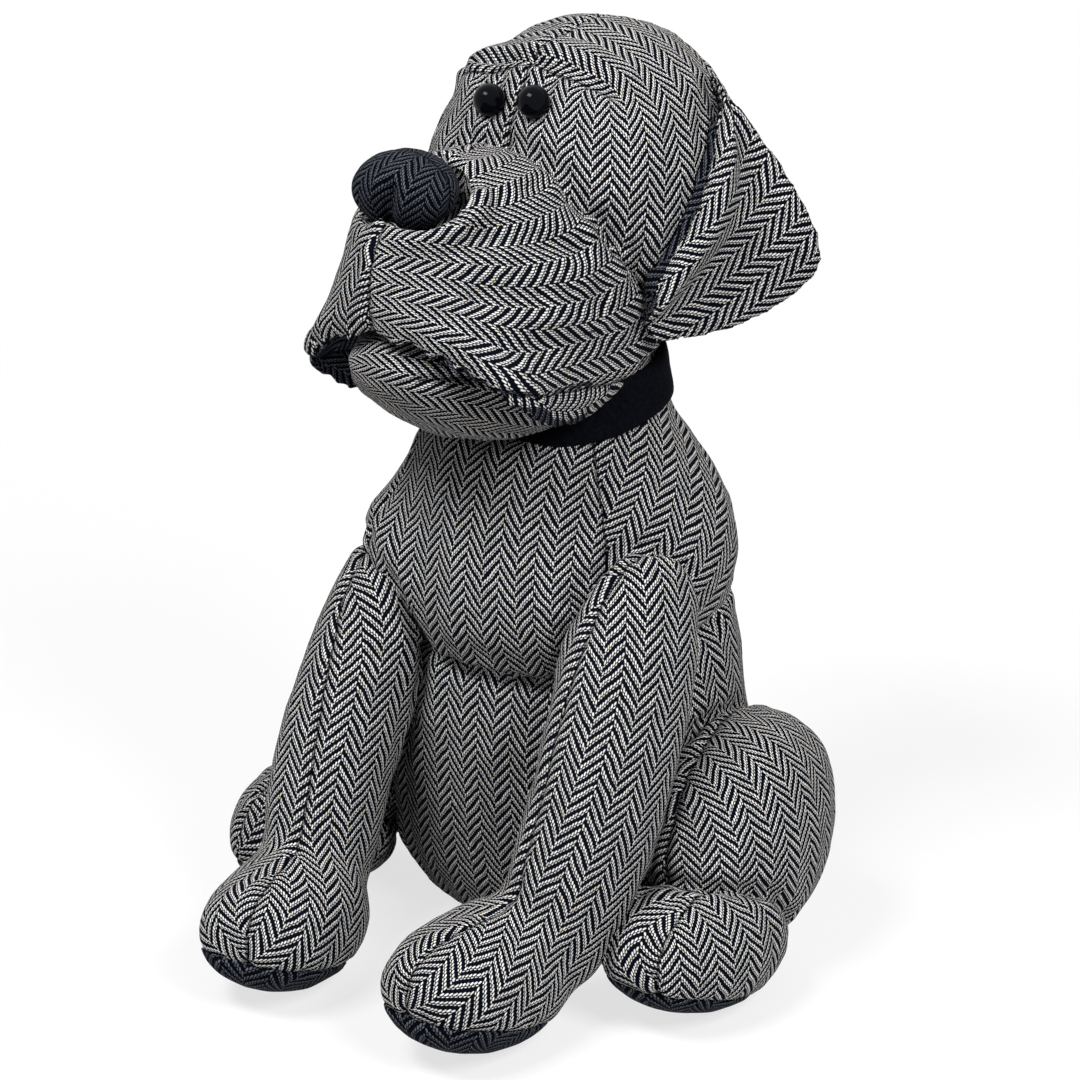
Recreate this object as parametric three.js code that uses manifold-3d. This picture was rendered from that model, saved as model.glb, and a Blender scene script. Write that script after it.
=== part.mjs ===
// A weighted fabric door stop in the shape of a sitting dog, sewn from herringbone tweed and stuffed.
// Millimetres. The dog sits on the floor z = 0 and faces -Y, its left side is +X, +Z is up.
import * as THREE from 'three';
import { mergeVertices } from 'three/addons/utils/BufferGeometryUtils.js';
import Module from 'manifold-3d';

const wasm = await Module();
wasm.setup();

// Driving sizes: body
const SEAM_GAP = 0.3; // between two sewn pieces
const BASE_WIDTH = 124;
const BASE_DEPTH = 98;
const BASE_HEIGHT = 108;
const CHEST_WIDTH = 110;
const CHEST_DEPTH = 104;
const CHEST_HEIGHT = 118; // height of the fullest part
const CHEST_FOLD = 81; // height of the fold under the chest
const NECK_DIAMETER = 62;

// Driving sizes: limbs
const LEG_WIDTH = 36;
const LEG_DEPTH = 43;
const SHOULDER_HEIGHT = 134;
const FRONT_TOE = 94; // from the middle of the body forward to the toe
const FOOT_WIDTH = 42;
const FOOT_HEIGHT = 41;
const THIGH_WIDTH = 52;
const THIGH_LENGTH = 80;
const THIGH_HEIGHT = 72;
const HIND_FOOT_WIDTH = 47;
const HIND_FOOT_LENGTH = 66;
const HIND_FOOT_HEIGHT = 42;
const SOLE_THICKNESS = 3.5;
const SOLE_TURN = 19; // degrees up towards the toe

// Driving sizes: head
const HEAD_HEIGHT = 234; // height of the middle of the skull
const HEAD_BACK = 38; // how far behind the middle of the body it sits
const HEAD_TURN = -6; // degrees
const HEAD_TILT = -3;
const SKULL_WIDTH = 89;
const SKULL_LENGTH = 88;
const MUZZLE_LENGTH = 97; // from the middle of the skull
const MUZZLE_WIDTH = 79;
const JOWL_DROP = 61; // lip below the middle of the skull
const JOWL_LEAN = -0.5; // how much lower the left lip hangs
const LINING = 1.8;
const NOSE_WIDTH = 35;
const NOSE_HEIGHT = 24;
const EYE_DIAMETER = 9.5;
const EYE_SPACING = 16;
const EYE_RISE = 25;
const EAR_LENGTH = 62;
const EAR_SPREAD = 30;
const EAR_THICKNESS = 2.6;
const EAR_ROLL = 8; // height of the roll along its front
const COLLAR_HEIGHT = 17;
const COLLAR_THICKNESS = 2.5;

// A point.
const V = (x, y, z) => new THREE.Vector3(x, y, z);

// A smooth line through a list of points.
const line = (points) => new THREE.CatmullRomCurve3(points.map((p) => V(...p)), false, 'catmullrom', 0.5);

// The values of a list at share t of its length, run through smoothly.
const along = (values, t) => line(values.map((v) => [v, 0, 0])).getPoint(t).x;

// A closed three.js geometry as a solid with its faces pointing out.
function solid(geometry) {
  const bare = geometry.clone();
  for (const name of Object.keys(bare.attributes)) if (name !== 'position') bare.deleteAttribute(name);
  const merged = mergeVertices(bare, 1e-4);
  const triVerts = new Uint32Array(merged.index.array);
  const vertProperties = new Float32Array(merged.attributes.position.array);
  const build = () => new wasm.Manifold(new wasm.Mesh({ numProp: 3, vertProperties, triVerts }));
  const made = build();
  if (made.volume() > 0) return made;
  for (let i = 0; i < triVerts.length; i += 3) {
    [triVerts[i + 1], triVerts[i + 2]] = [triVerts[i + 2], triVerts[i + 1]];
  }
  return build();
}

// One closed skin over a stack of rings, each end closed by a fan to its tip.
function skin(rings, firstTip, lastTip) {
  const sides = rings[0].length;
  const points = [...rings.flat(), firstTip, lastTip];
  const first = points.length - 2;
  const last = points.length - 1;
  const top = (rings.length - 1) * sides;
  const faces = [];
  for (let j = 0; j < sides; j++) {
    const k = (j + 1) % sides;
    for (let i = 0; i < top; i += sides) faces.push(i + j, i + k, i + k + sides, i + j, i + k + sides, i + j + sides);
    faces.push(first, k, j, last, top + j, top + k);
  }
  const geometry = new THREE.BufferGeometry().setFromPoints(points);
  geometry.setIndex(faces);
  return solid(geometry);
}

// A closed sheet between two grids of points, a front and a back.
function sheet(front, back) {
  const rows = front.length;
  const columns = front[0].length;
  const at = (i, j, side) => side * rows * columns + i * columns + j;
  const faces = [];
  const quad = (a, b, c, d) => faces.push(a, b, c, a, c, d);
  for (let i = 0; i < rows - 1; i++) {
    for (let j = 0; j < columns - 1; j++) {
      quad(at(i, j, 0), at(i, j + 1, 0), at(i + 1, j + 1, 0), at(i + 1, j, 0));
      quad(at(i, j, 1), at(i + 1, j, 1), at(i + 1, j + 1, 1), at(i, j + 1, 1));
    }
    quad(at(i, 0, 0), at(i + 1, 0, 0), at(i + 1, 0, 1), at(i, 0, 1));
    quad(at(i, columns - 1, 0), at(i, columns - 1, 1), at(i + 1, columns - 1, 1), at(i + 1, columns - 1, 0));
  }
  for (let j = 0; j < columns - 1; j++) {
    quad(at(0, j, 0), at(0, j, 1), at(0, j + 1, 1), at(0, j + 1, 0));
    quad(at(rows - 1, j, 0), at(rows - 1, j + 1, 0), at(rows - 1, j + 1, 1), at(rows - 1, j, 1));
  }
  const geometry = new THREE.BufferGeometry().setFromPoints([...front.flat(), ...back.flat()]);
  geometry.setIndex(faces);
  return solid(geometry);
}

// How full a stuffed bag is at share t of its length: 1 in the middle, falling to 0 at each round end.
function fullness(t, startRound, endRound) {
  const power = t < 0.5 ? startRound : endRound;
  return (1 - Math.abs(2 * t - 1) ** power) ** (1 / power);
}

// A stuffed bag round a spine: its sizes across and deep at even steps, its ends rounded over.
function bag({ spine, wide, deep, round = [2.4, 2.4], sides = 22, rings = 12, across = V(1, 0, 0), dent = (p) => p }) {
  const curve = line(spine);
  const stack = [];
  for (let i = 1; i < rings; i++) {
    const t = (1 - Math.cos((Math.PI * i) / rings)) / 2;
    const tangent = curve.getTangent(t);
    const up = V(0, 0, 0).crossVectors(tangent, across).normalize();
    const side = V(0, 0, 0).crossVectors(up, tangent).normalize();
    const half = fullness(t, ...round) / 2;
    const ring = [];
    for (let j = 0; j < sides; j++) {
      const angle = (2 * Math.PI * j) / sides;
      const x = Math.sign(Math.cos(angle)) * Math.abs(Math.cos(angle)) ** 0.91 * along(wide, t) * half;
      const y = Math.sign(Math.sin(angle)) * Math.abs(Math.sin(angle)) ** 0.91 * along(deep, t) * half;
      ring.push(dent(curve.getPoint(t).addScaledVector(side, x).addScaledVector(up, y)));
    }
    stack.push(ring);
  }
  return skin(stack, dent(curve.getPoint(0)), dent(curve.getPoint(1)));
}

// A solid's triangles as a three.js geometry.
function geometryOf(made) {
  const { vertProperties, triVerts } = made.getMesh();
  const geometry = new THREE.BufferGeometry();
  geometry.setAttribute('position', new THREE.BufferAttribute(vertProperties.slice(), 3));
  geometry.setIndex(new THREE.BufferAttribute(triVerts.slice(), 1));
  return geometry;
}

// The solid grown outwards by a gap all over.
function grown(made, gap = SEAM_GAP) {
  const geometry = geometryOf(made);
  geometry.computeVertexNormals();
  const { position, normal } = geometry.attributes;
  for (let i = 0; i < position.array.length; i++) position.array[i] += normal.array[i] * gap;
  return solid(geometry);
}

// What is left of a piece beside its neighbours, with the seam gap between them.
const beside = (piece, ...neighbours) => neighbours.reduce((left, other) => left.subtract(grown(other)), piece);

// The part of a piece between two heights.
function between(piece, low, high) {
  const box = new THREE.BoxGeometry(900, 900, high - low);
  return piece.intersect(solid(box.translate(0, 0, (low + high) / 2)));
}
const aboveFloor = (piece) => between(piece, 0, 900);
const mirrored = (piece) => piece.mirror([1, 0, 0]);

// The biggest part of a piece, where cutting it leaves scraps.
const biggest = (piece) => piece.decompose().sort((a, b) => b.volume() - a.volume())[0];

// Where a line from a point inside a piece comes out through its skin.
function onSkin(made, from, towards) {
  const target = new THREE.Mesh(geometryOf(made), new THREE.MeshBasicMaterial({ side: THREE.DoubleSide }));
  const hits = new THREE.Raycaster(from, towards.clone().normalize()).intersectObject(target);
  return hits[hits.length - 1].point;
}

// Body: the weighted base below, the chest and neck above it
const CHEST_AT = 23; // the body's middle line stands this far behind the shoulders
const collarHeight = HEAD_HEIGHT - SKULL_WIDTH / 2 - 16;
const base = aboveFloor(bag({
  spine: [[0, 42, -14], [0, 37, 25], [0, 30, 66], [0, CHEST_AT + 9, BASE_HEIGHT + 18]],
  wide: [BASE_WIDTH - 10, BASE_WIDTH, BASE_WIDTH - 12, BASE_WIDTH - 20],
  deep: [BASE_DEPTH - 10, BASE_DEPTH + 1, BASE_DEPTH - 2, BASE_DEPTH + 3],
  round: [2.6, 4.5],
  rings: 14,
}));
const chest = bag({
  spine: [
    [0, CHEST_AT + 4, CHEST_FOLD],
    [0, CHEST_AT + 1, CHEST_HEIGHT - 16],
    [0, CHEST_AT, CHEST_HEIGHT + 10],
    [0, CHEST_AT - 1, (CHEST_HEIGHT + collarHeight + 10) / 2],
    [0, CHEST_AT + 1, collarHeight],
    [0, CHEST_AT + 9, collarHeight + 34],
  ],
  wide: [CHEST_WIDTH - 14, CHEST_WIDTH + 5, CHEST_WIDTH + 1, CHEST_WIDTH - 22, NECK_DIAMETER, NECK_DIAMETER - 4],
  deep: [CHEST_DEPTH - 20, CHEST_DEPTH + 4, CHEST_DEPTH - 4, CHEST_DEPTH - 20, NECK_DIAMETER, NECK_DIAMETER - 4],
  round: [2.4, 6],
  rings: 15,
});

// Front legs: a tube down from the shoulder, and a foot set forward from it, turned in at the toe
function frontLeg(shank, foot, turn) {
  const angle = THREE.MathUtils.degToRad(turn);
  const across = V(Math.cos(angle), -Math.sin(angle), 0);
  const tube = bag({
    spine: shank,
    wide: [LEG_WIDTH, LEG_WIDTH, LEG_WIDTH, LEG_WIDTH + 2],
    deep: [LEG_DEPTH, LEG_DEPTH, LEG_DEPTH - 2, LEG_DEPTH - 2],
    round: [3.2, 3.4],
    across,
    sides: 18,
    rings: 13,
  });
  const toes = bag({
    spine: foot,
    wide: [LEG_WIDTH + 2, FOOT_WIDTH + 1, FOOT_WIDTH],
    deep: [FOOT_HEIGHT, FOOT_HEIGHT + 1, FOOT_HEIGHT - 9],
    round: [2.4, 3.2],
    across,
    sides: 18,
    rings: 10,
  });
  return aboveFloor(tube.add(toes));
}
const shoulder = CHEST_WIDTH / 2;
const legLeft = frontLeg(
  [[shoulder - 10, 4, SHOULDER_HEIGHT], [shoulder - 7, -15, 96], [shoulder - 9, -29, 58], [shoulder - 17, -47, 12]],
  [[shoulder - 18, -34, 26], [shoulder - 23, -60, 21], [shoulder - 27, -FRONT_TOE, 26]],
  18,
);
const legRight = frontLeg(
  [[24 - shoulder, 10, SHOULDER_HEIGHT - 4], [14 - shoulder, -12, 94], [11 - shoulder, -31, 58], [16 - shoulder, -54, 10]],
  [[17 - shoulder, -38, 28], [18 - shoulder, -62, 21], [22 - shoulder, -FRONT_TOE, 26]],
  -18,
);

// Thigh and hind foot
const thigh = aboveFloor(bag({
  spine: [[65, 25 - THIGH_LENGTH / 2, 34], [65, 25, 43], [59, 25 + THIGH_LENGTH / 2, 42]],
  wide: [THIGH_WIDTH - 8, THIGH_WIDTH, THIGH_WIDTH - 6],
  deep: [THIGH_HEIGHT - 12, THIGH_HEIGHT, THIGH_HEIGHT - 10],
  round: [2.2, 2.2],
  sides: 18,
}));
const hindFoot = aboveFloor(bag({
  spine: [[67, HIND_FOOT_LENGTH - 42, 20], [70, -6, 21], [65, -41, 26]],
  wide: [HIND_FOOT_WIDTH - 6, HIND_FOOT_WIDTH, HIND_FOOT_WIDTH - 6],
  deep: [HIND_FOOT_HEIGHT, HIND_FOOT_HEIGHT, HIND_FOOT_HEIGHT - 8],
  round: [2.6, 2.6],
  sides: 18,
}));

// Skull, about its own middle, with a hollow below the brow for the eyes
const skull = bag({
  spine: [[0, -SKULL_LENGTH / 2 + 2, 5], [0, 0, -4], [0, SKULL_LENGTH / 2 + 2, -16]],
  wide: [SKULL_WIDTH - 6, SKULL_WIDTH, SKULL_WIDTH - 8],
  deep: [SKULL_WIDTH - 25, SKULL_WIDTH + 7, SKULL_WIDTH - 2],
  round: [2.7, 2.2],
  sides: 26,
  rings: 16,
  dent: (p) => {
    const near = V(p.x / 26, (p.y + SKULL_LENGTH / 2) / 16, (p.z - EYE_RISE + 5) / 11).lengthSq();
    return p.add(V(0, 7, 0).multiplyScalar(Math.exp(-near)));
  },
});

// Muzzle: sections across it from the skull forward, with hanging lips each side of an open channel
const MUZZLE_SECTIONS = [
  // share of length, top, shoulder, cheek, lip, drop, channel, roof
  [0.04, 11, 0.6, 0.88, 0.8, 0.84, 0.44, 34],
  [0.3, 13, 0.6, 0.95, 0.88, 0.98, 0.58, 36],
  [0.52, 15, 0.56, 0.98, 0.94, 1.04, 0.72, 36],
  [0.68, 15, 0.5, 0.88, 1.02, 0.97, 0.82, 34],
  [0.8, 12, 0.44, 0.72, 1.08, 0.84, 0.88, 32],
  [0.88, 5, 0.36, 0.57, 0.92, 0.74, 0.7, 31],
  [0.95, -4, 0.26, 0.42, 0.58, 0.6, 0.42, 30],
  [0.985, -12, 0.14, 0.22, 0.28, 0.55, 0.18, 29],
];
const SECTION_POINTS = 32;
const muzzleRings = Array.from({ length: 12 }, (_, i) => {
  const size = (k) => along(MUZZLE_SECTIONS.map((section) => section[k]), i / 11);
  const [share, top, shoulder, cheek, lip, drop, channel, roof] = [0, 1, 2, 3, 4, 5, 6, 7].map(size);
  const half = MUZZLE_WIDTH / 2;
  const y = -share * MUZZLE_LENGTH;
  const side = (sign) => {
    const low = -drop * JOWL_DROP - sign * share * JOWL_LEAN;
    return [
      [sign * shoulder * half, y, top - 8],
      [sign * cheek * half, y, -21],
      [sign * (cheek * 0.55 + lip * 0.45) * half, y, (low - 15) / 2],
      [sign * lip * half, y, low + 7],
      [sign * (lip * half - 5), y, low],
      [sign * channel * half, y, (low - roof) / 2],
      [sign * channel * half * 0.55, y, -roof],
    ];
  };
  const outline = [[0, y, top], ...side(1), [0, y, -roof], ...side(-1).reverse()];
  const curve = new THREE.CatmullRomCurve3(outline.map((p) => V(...p)), true, 'centripetal');
  return Array.from({ length: SECTION_POINTS }, (_, j) => curve.getPoint(j / SECTION_POINTS));
});
const UNDER_LIPS = [11, 21]; // the points of a section that lie in the channel
const LINED_RINGS = 10;

// The ring with its channel sunk into the cloth, to make room for the lining.
function sunk(ring, depth) {
  return ring.map((p, j) => {
    if (j < UNDER_LIPS[0] || j > UNDER_LIPS[1]) return p.clone();
    const tangent = ring[j + 1].clone().sub(ring[j - 1]).normalize();
    return p.clone().add(V(-tangent.z, 0, tangent.x).multiplyScalar(-depth));
  });
}
const muzzleTips = [V(0, 0, -10), V(0, -MUZZLE_LENGTH, -22)];
const muzzleWhole = skin(muzzleRings, ...muzzleTips);
const muzzle = skin(muzzleRings.map((ring, i) => (i < LINED_RINGS ? sunk(ring, LINING + SEAM_GAP) : ring)), ...muzzleTips);
const inChannel = (ring) => ring.slice(UNDER_LIPS[0], UNDER_LIPS[1] + 1);
const linedRings = muzzleRings.slice(0, LINED_RINGS);
const jowlLining = sheet(linedRings.map(inChannel), linedRings.map((ring) => inChannel(sunk(ring, LINING))));

const chin = bag({
  spine: [[0, 6, -41], [0, -44, -48], [0, -95, -39]],
  wide: [52, 58, 48],
  deep: [42, 48, 30],
  round: [2.2, 2.6],
  sides: 20,
  rings: 11,
});

// Nose: an oval pad, drawn in by a stitch at its lower front
const noseAt = V(0, -0.795 * MUZZLE_LENGTH, 7);
const noseShape = new THREE.SphereGeometry(1, 18, 10);
noseShape.scale(NOSE_WIDTH / 2, 14, NOSE_HEIGHT / 2);
for (let i = 0, p = noseShape.attributes.position; i < p.count; i++) {
  const near = V(p.getX(i), p.getY(i) + 12, p.getZ(i) + 5).lengthSq() / 50;
  p.setY(i, p.getY(i) + 5 * Math.exp(-near));
}
const nose = solid(noseShape.translate(...noseAt));

// Eyes: glossy beads on a shank that goes in through the face
function bead(x, rise) {
  const middle = onSkin(skull, V(x, 0, rise), V(0, -1, 0)).add(V(0, -EYE_DIAMETER / 2 + 1.6, 0));
  const ball = new THREE.SphereGeometry(EYE_DIAMETER / 2, 14, 9).translate(...middle);
  const shank = new THREE.CylinderGeometry(1.2, 1.2, EYE_DIAMETER, 8).translate(...middle).translate(0, EYE_DIAMETER / 2, 0);
  return solid(ball).add(solid(shank));
}
const eyeLeft = bead(EYE_SPACING / 2, EYE_RISE);
const eyeRight = bead(-EYE_SPACING / 2, EYE_RISE - 1);

// Ears: a flap sewn on along a slanting line, rolled over along its front, with a lining behind
const EAR_ROOT = [[13, 25], [-1, 10], [-12, -6], [-20, -21], [-25, -36]];
const earRoot = EAR_ROOT.map(([y, z]) => onSkin(skull.add(muzzleWhole), V(0, y, z), V(1, 0, 0)));
const EAR_STEPS = [0.05, 0.11, 0.18, 0.26, 0.35, 0.52, 0.76, 1]; // shares of the way from root to edge
const EAR_ROLLS = [0.45, 0.9, 1, 0.6, 0.05, -0.2, 0, 0]; // how high it stands there, as a share of the roll
function flap({ shares, inward, thick, rings = 11 }) {
  const root = line(earRoot.map((p) => [p.x + 0.5, p.y, p.z]));
  const reach = EAR_SPREAD / 30;
  const drop = EAR_LENGTH / 60;
  const edge = line([
    [earRoot[0].x + 4 * reach, 16, 25],
    [earRoot[1].x + 15 * reach, 20, 25 - 24 * drop],
    [earRoot[2].x + 24 * reach, 24, 25 - 45 * drop],
    [earRoot[3].x + 24 * reach, 21, 25 - 57 * drop],
    [earRoot[3].x + 13 * reach, 3, 25 - 66 * drop],
    [earRoot[4].x + 5 * reach, -21, 25 - 67 * drop],
  ]);
  const front = [];
  const back = [];
  for (let i = 0; i <= rings; i++) {
    const u = i / rings;
    const from = root.getPoint(u);
    const chord = edge.getPoint(u).sub(from);
    const face = V(0, 0, 0).crossVectors(root.getTangent(u), chord).normalize();
    const layer = (way) => shares.map((c) => {
      const lift = EAR_ROLL * (EAR_ROLLS[EAR_STEPS.indexOf(c)] ?? 0) * Math.min(1, 6 * (1.1 - u));
      const blunt = c === shares[0] || c === 1 ? 0.4 : 1;
      const half = (thick / 2) * blunt * Math.min(1, 0.3 + 4 * Math.min(u, 1 - u));
      return from.clone().addScaledVector(chord, c).addScaledVector(face, lift - inward + way * half);
    });
    front.push(layer(1));
    back.push(layer(-1));
  }
  return sheet(front, back);
}
const ear = flap({ shares: EAR_STEPS, inward: 0, thick: EAR_THICKNESS });
const behindEar = (EAR_THICKNESS + LINING) / 2 + 3 * SEAM_GAP; // more than one gap, for the steep side of the roll
const earLining = flap({ shares: [-0.06, ...EAR_STEPS], inward: behindEar, thick: LINING });

// The head's own frame, and pieces of it as they lie in the body's frame
const dog = new THREE.Group();
const head = new THREE.Group();
const turn = [0, HEAD_TILT, HEAD_TURN].map((angle) => THREE.MathUtils.degToRad(angle));
head.position.set(0, HEAD_BACK, HEAD_HEIGHT);
head.rotation.set(...turn, 'ZXY');
head.updateMatrixWorld(true);
const inBody = (piece) => piece.transform(head.matrixWorld.elements);

// Collar: a band round the neck, leaning back with it
const collarBlank = solid(new THREE.CylinderGeometry(
  NECK_DIAMETER / 2 + COLLAR_THICKNESS - 1.5,
  NECK_DIAMETER / 2 + COLLAR_THICKNESS - 0.5,
  COLLAR_HEIGHT,
  28,
).rotateX(Math.PI / 2 - 0.2).translate(0, CHEST_AT + 1, collarHeight + 1));

const TWEED = 0x6f7076;
const DARK = 0x2a2b33;
const BEAD = 0x08080a;

function mesh(name, made, colour, roughness = 0.95) {
  const geometry = geometryOf(made).toNonIndexed();
  geometry.computeVertexNormals();
  const piece = new THREE.Mesh(geometry, new THREE.MeshStandardMaterial({ color: colour, roughness, metalness: 0 }));
  piece.name = name;
  return piece;
}

// Each piece gives way to the ones it is sewn onto
const skullWhole = beside(skull, eyeLeft, eyeRight);
const muzzleLeft = beside(muzzle, skull, nose);
const headUnder = [skull, muzzleWhole, chin].map(inBody);
const neckless = beside(chest, ...headUnder);
const collar = biggest(beside(collarBlank, chest, ...headUnder));
const baseLeft = beside(base, chest);
const onBody = (piece) => beside(piece, chest, base);
const thighLeft = beside(onBody(thigh), legLeft);
const thighRight = beside(mirrored(onBody(thigh)), legRight);
const hindFootRight = beside(mirrored(beside(onBody(hindFoot), thigh)), legRight);
const hindFootLeft = beside(onBody(hindFoot), thigh, legLeft);

// A foot and the dark sole under it, which turns up towards the toe from a line across the foot
function shod(name, piece, sole, bend) {
  const under = (rise) => {
    const flat = new THREE.BoxGeometry(900, 900, 900).translate(0, 0, rise - 450);
    const turned = flat.clone().rotateX(-THREE.MathUtils.degToRad(SOLE_TURN)).translate(0, bend, 0);
    return solid(flat).add(solid(turned));
  };
  dog.add(mesh(name, piece.subtract(under(SOLE_THICKNESS + SEAM_GAP)), TWEED));
  dog.add(mesh(sole, piece.intersect(under(SOLE_THICKNESS)), DARK));
}
shod('front_leg_left', onBody(legLeft), 'front_sole_left', 52 - FRONT_TOE);
shod('front_leg_right', onBody(legRight), 'front_sole_right', 50 - FRONT_TOE);
shod('hind_foot_left', hindFootLeft, 'hind_sole_left', 4);
shod('hind_foot_right', hindFootRight, 'hind_sole_right', 4);
dog.add(
  mesh('upper_body', neckless, TWEED),
  mesh('weighted_base', baseLeft, TWEED),
  mesh('thigh_left', thighLeft, TWEED),
  mesh('thigh_right', thighRight, TWEED),
  mesh('collar', collar, DARK),
  head,
);
const earLeft = beside(ear, skull, muzzleWhole, chin);
const earLiningLeft = beside(earLining, skull, muzzleWhole, chin);
head.add(
  mesh('cranium', skullWhole, TWEED),
  mesh('muzzle', muzzleLeft, TWEED),
  mesh('jowl_lining', beside(jowlLining, skull), DARK),
  mesh('chin', beside(chin, muzzleWhole, skull), TWEED),
  mesh('nose', beside(nose, skull), DARK),
  mesh('eye_left', eyeLeft, BEAD, 0.15),
  mesh('eye_right', eyeRight, BEAD, 0.15),
  mesh('ear_left', earLeft, TWEED),
  mesh('ear_right', mirrored(earLeft), TWEED),
  mesh('ear_lining_left', earLiningLeft, DARK),
  mesh('ear_lining_right', mirrored(earLiningLeft), DARK),
);

// The origin goes to the floor under the middle of the whole dog
const bounds = new THREE.Box3().setFromObject(dog, true);
const middle = bounds.getCenter(V(0, 0, 0));
dog.position.set(-middle.x, -middle.y, -bounds.min.z);

export default dog;
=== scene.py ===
# %% [markdown]
# # A tweed door stop, sewn and stuffed
# The real object is a sitting dog, sewn from herringbone tweed, stuffed with fibre and weighted with sand.
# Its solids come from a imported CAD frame, in metres, and this file gives them their cloth. Each step says
# what the real thing is, how it could be made in Blender, and why it is made this way.

# %% The frame
import math
from collections import namedtuple

import bmesh
import bpy
import numpy as np
from mathutils import Matrix, Vector, noise
from mathutils.bvhtree import BVHTree
from mathutils.kdtree import KDTree


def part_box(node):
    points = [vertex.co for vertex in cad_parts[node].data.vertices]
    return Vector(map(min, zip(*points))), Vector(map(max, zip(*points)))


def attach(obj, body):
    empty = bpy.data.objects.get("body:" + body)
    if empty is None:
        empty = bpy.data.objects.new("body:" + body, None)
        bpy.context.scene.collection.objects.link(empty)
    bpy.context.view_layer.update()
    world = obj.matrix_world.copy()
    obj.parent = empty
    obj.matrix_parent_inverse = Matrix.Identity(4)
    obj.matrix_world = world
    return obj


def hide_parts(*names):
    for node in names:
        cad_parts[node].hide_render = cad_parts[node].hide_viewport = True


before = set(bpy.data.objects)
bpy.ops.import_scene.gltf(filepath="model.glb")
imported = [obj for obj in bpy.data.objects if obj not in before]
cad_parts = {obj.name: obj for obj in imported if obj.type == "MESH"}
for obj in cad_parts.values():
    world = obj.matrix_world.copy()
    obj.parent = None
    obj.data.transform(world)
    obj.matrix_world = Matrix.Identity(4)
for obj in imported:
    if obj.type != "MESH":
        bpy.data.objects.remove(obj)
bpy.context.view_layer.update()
MM = 0.001
SIDES = {"left": 1, "right": -1}  # the dog's own sides, and the way each lies along X
print("nodes in the frame:", len(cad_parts))

# %% [markdown]
# ## Camera
# The dog is seen from its left front, a little from above, with a long lens that keeps its lines straight.
# The camera could be aimed by eye. Here its angles and framing are given as numbers.

# %% Camera
VIEW_TURN, VIEW_RISE = math.radians(34), math.radians(20)
AIM = Vector((0, 0.0095, 0.140))
PICTURE = 1080  # pixels along each side of the picture
FOCAL_LENGTH = 3400  # in the same pixels
SHIFT_RIGHT, SHIFT_UP = 17, -42  # in the same pixels
FILM_WIDTH = 36  # mm

level = math.cos(VIEW_RISE)
towards_camera = Vector((math.sin(VIEW_TURN) * level, -math.cos(VIEW_TURN) * level, math.sin(VIEW_RISE)))
lens = bpy.data.cameras.new("view")
lens.sensor_width = FILM_WIDTH
lens.lens = FOCAL_LENGTH / PICTURE * FILM_WIDTH
lens.shift_x, lens.shift_y = SHIFT_RIGHT / PICTURE, SHIFT_UP / PICTURE
camera = bpy.data.objects.new("camera", lens)
camera.location = AIM + towards_camera
camera.rotation_euler = (math.pi / 2 - VIEW_RISE, 0, VIEW_TURN)
bpy.context.scene.collection.objects.link(camera)
bpy.context.scene.camera = camera
print("camera", [round(v, 3) for v in camera.location])

# %% [markdown]
# ## Colours and nodes
# A maker writes a colour as it looks on a screen, which is an sRGB hex value, while Blender counts in
# linear light. One function turns the first into the second. Another adds a node with its settings and
# links, so that each material below reads as a list of steps.

# %% Colours from hex
def linear(hex_colour):
    """An sRGB hex value as Blender's linear colour."""
    parts = [int(hex_colour[i:i + 2], 16) / 255 for i in (1, 3, 5)]
    return tuple(c / 12.92 if c <= 0.04045 else ((c + 0.055) / 1.055) ** 2.4 for c in parts) + (1,)


print("the grey #808080 is", round(linear("#808080")[0], 3), "in linear light")


# %% One node
def node(tree, kind, inputs=(), **settings):
    """Adds a node with settings and inputs. An input is a value, an output, or a node's first output."""
    made = tree.nodes.new(kind)
    for key, value in settings.items():
        setattr(made, key, value)
    for key, value in dict(inputs).items():
        if isinstance(value, bpy.types.Node):
            value = value.outputs[0]
        if isinstance(value, bpy.types.NodeSocket):
            tree.links.new(value, made.inputs[key])
        else:
            made.inputs[key].default_value = value
    return made


def new_material(name):
    made = bpy.data.materials.new(name)
    made.use_nodes = True
    made.node_tree.nodes.clear()
    return made, made.node_tree


MATH, VECTOR, RANGE = "ShaderNodeMath", "ShaderNodeVectorMath", "ShaderNodeMapRange"
print("materials so far:", len(bpy.data.materials))

# %% [markdown]
# ## Light and floor
# A product photograph is lit by large soft boxes: one in front, one at the side, a weak one behind and one
# low down. Area lamps stand in for the boxes, and a dim grey world for the white room, which keeps the
# colours as written. The floor is a pale disc that fades out to its rim, so the dog keeps its soft shadow
# and no horizon shows.

# %% World
ROOM_LIGHT = 0.10
WHITE = (1, 1, 1, 1)


def seen_as_backdrop(tree):
    """1 for a ray that shows the backdrop itself: from the camera, in a gloss or through glass."""
    ray = node(tree, "ShaderNodeLightPath").outputs
    direct = node(tree, MATH, {0: ray["Is Camera Ray"], 1: ray["Is Glossy Ray"]}, operation="MAXIMUM")
    return node(tree, MATH, {0: direct, 1: ray["Is Transmission Ray"]}, operation="MAXIMUM")


world = bpy.data.worlds.new("white room")
bpy.context.scene.world = world
world.use_nodes = True
world.node_tree.nodes.clear()
tree = world.node_tree
room = node(tree, "ShaderNodeBackground", {"Color": WHITE, "Strength": ROOM_LIGHT})
shown = node(tree, "ShaderNodeBackground", {"Color": WHITE, "Strength": 1.0})
mixed = node(tree, "ShaderNodeMixShader", {0: seen_as_backdrop(tree), 1: room, 2: shown})
node(tree, "ShaderNodeOutputWorld", {"Surface": mixed})
print("the room lights the dog at", ROOM_LIGHT)

# %% Soft boxes
DOG_MIDDLE = Vector((0, 0, 0.14))


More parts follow.
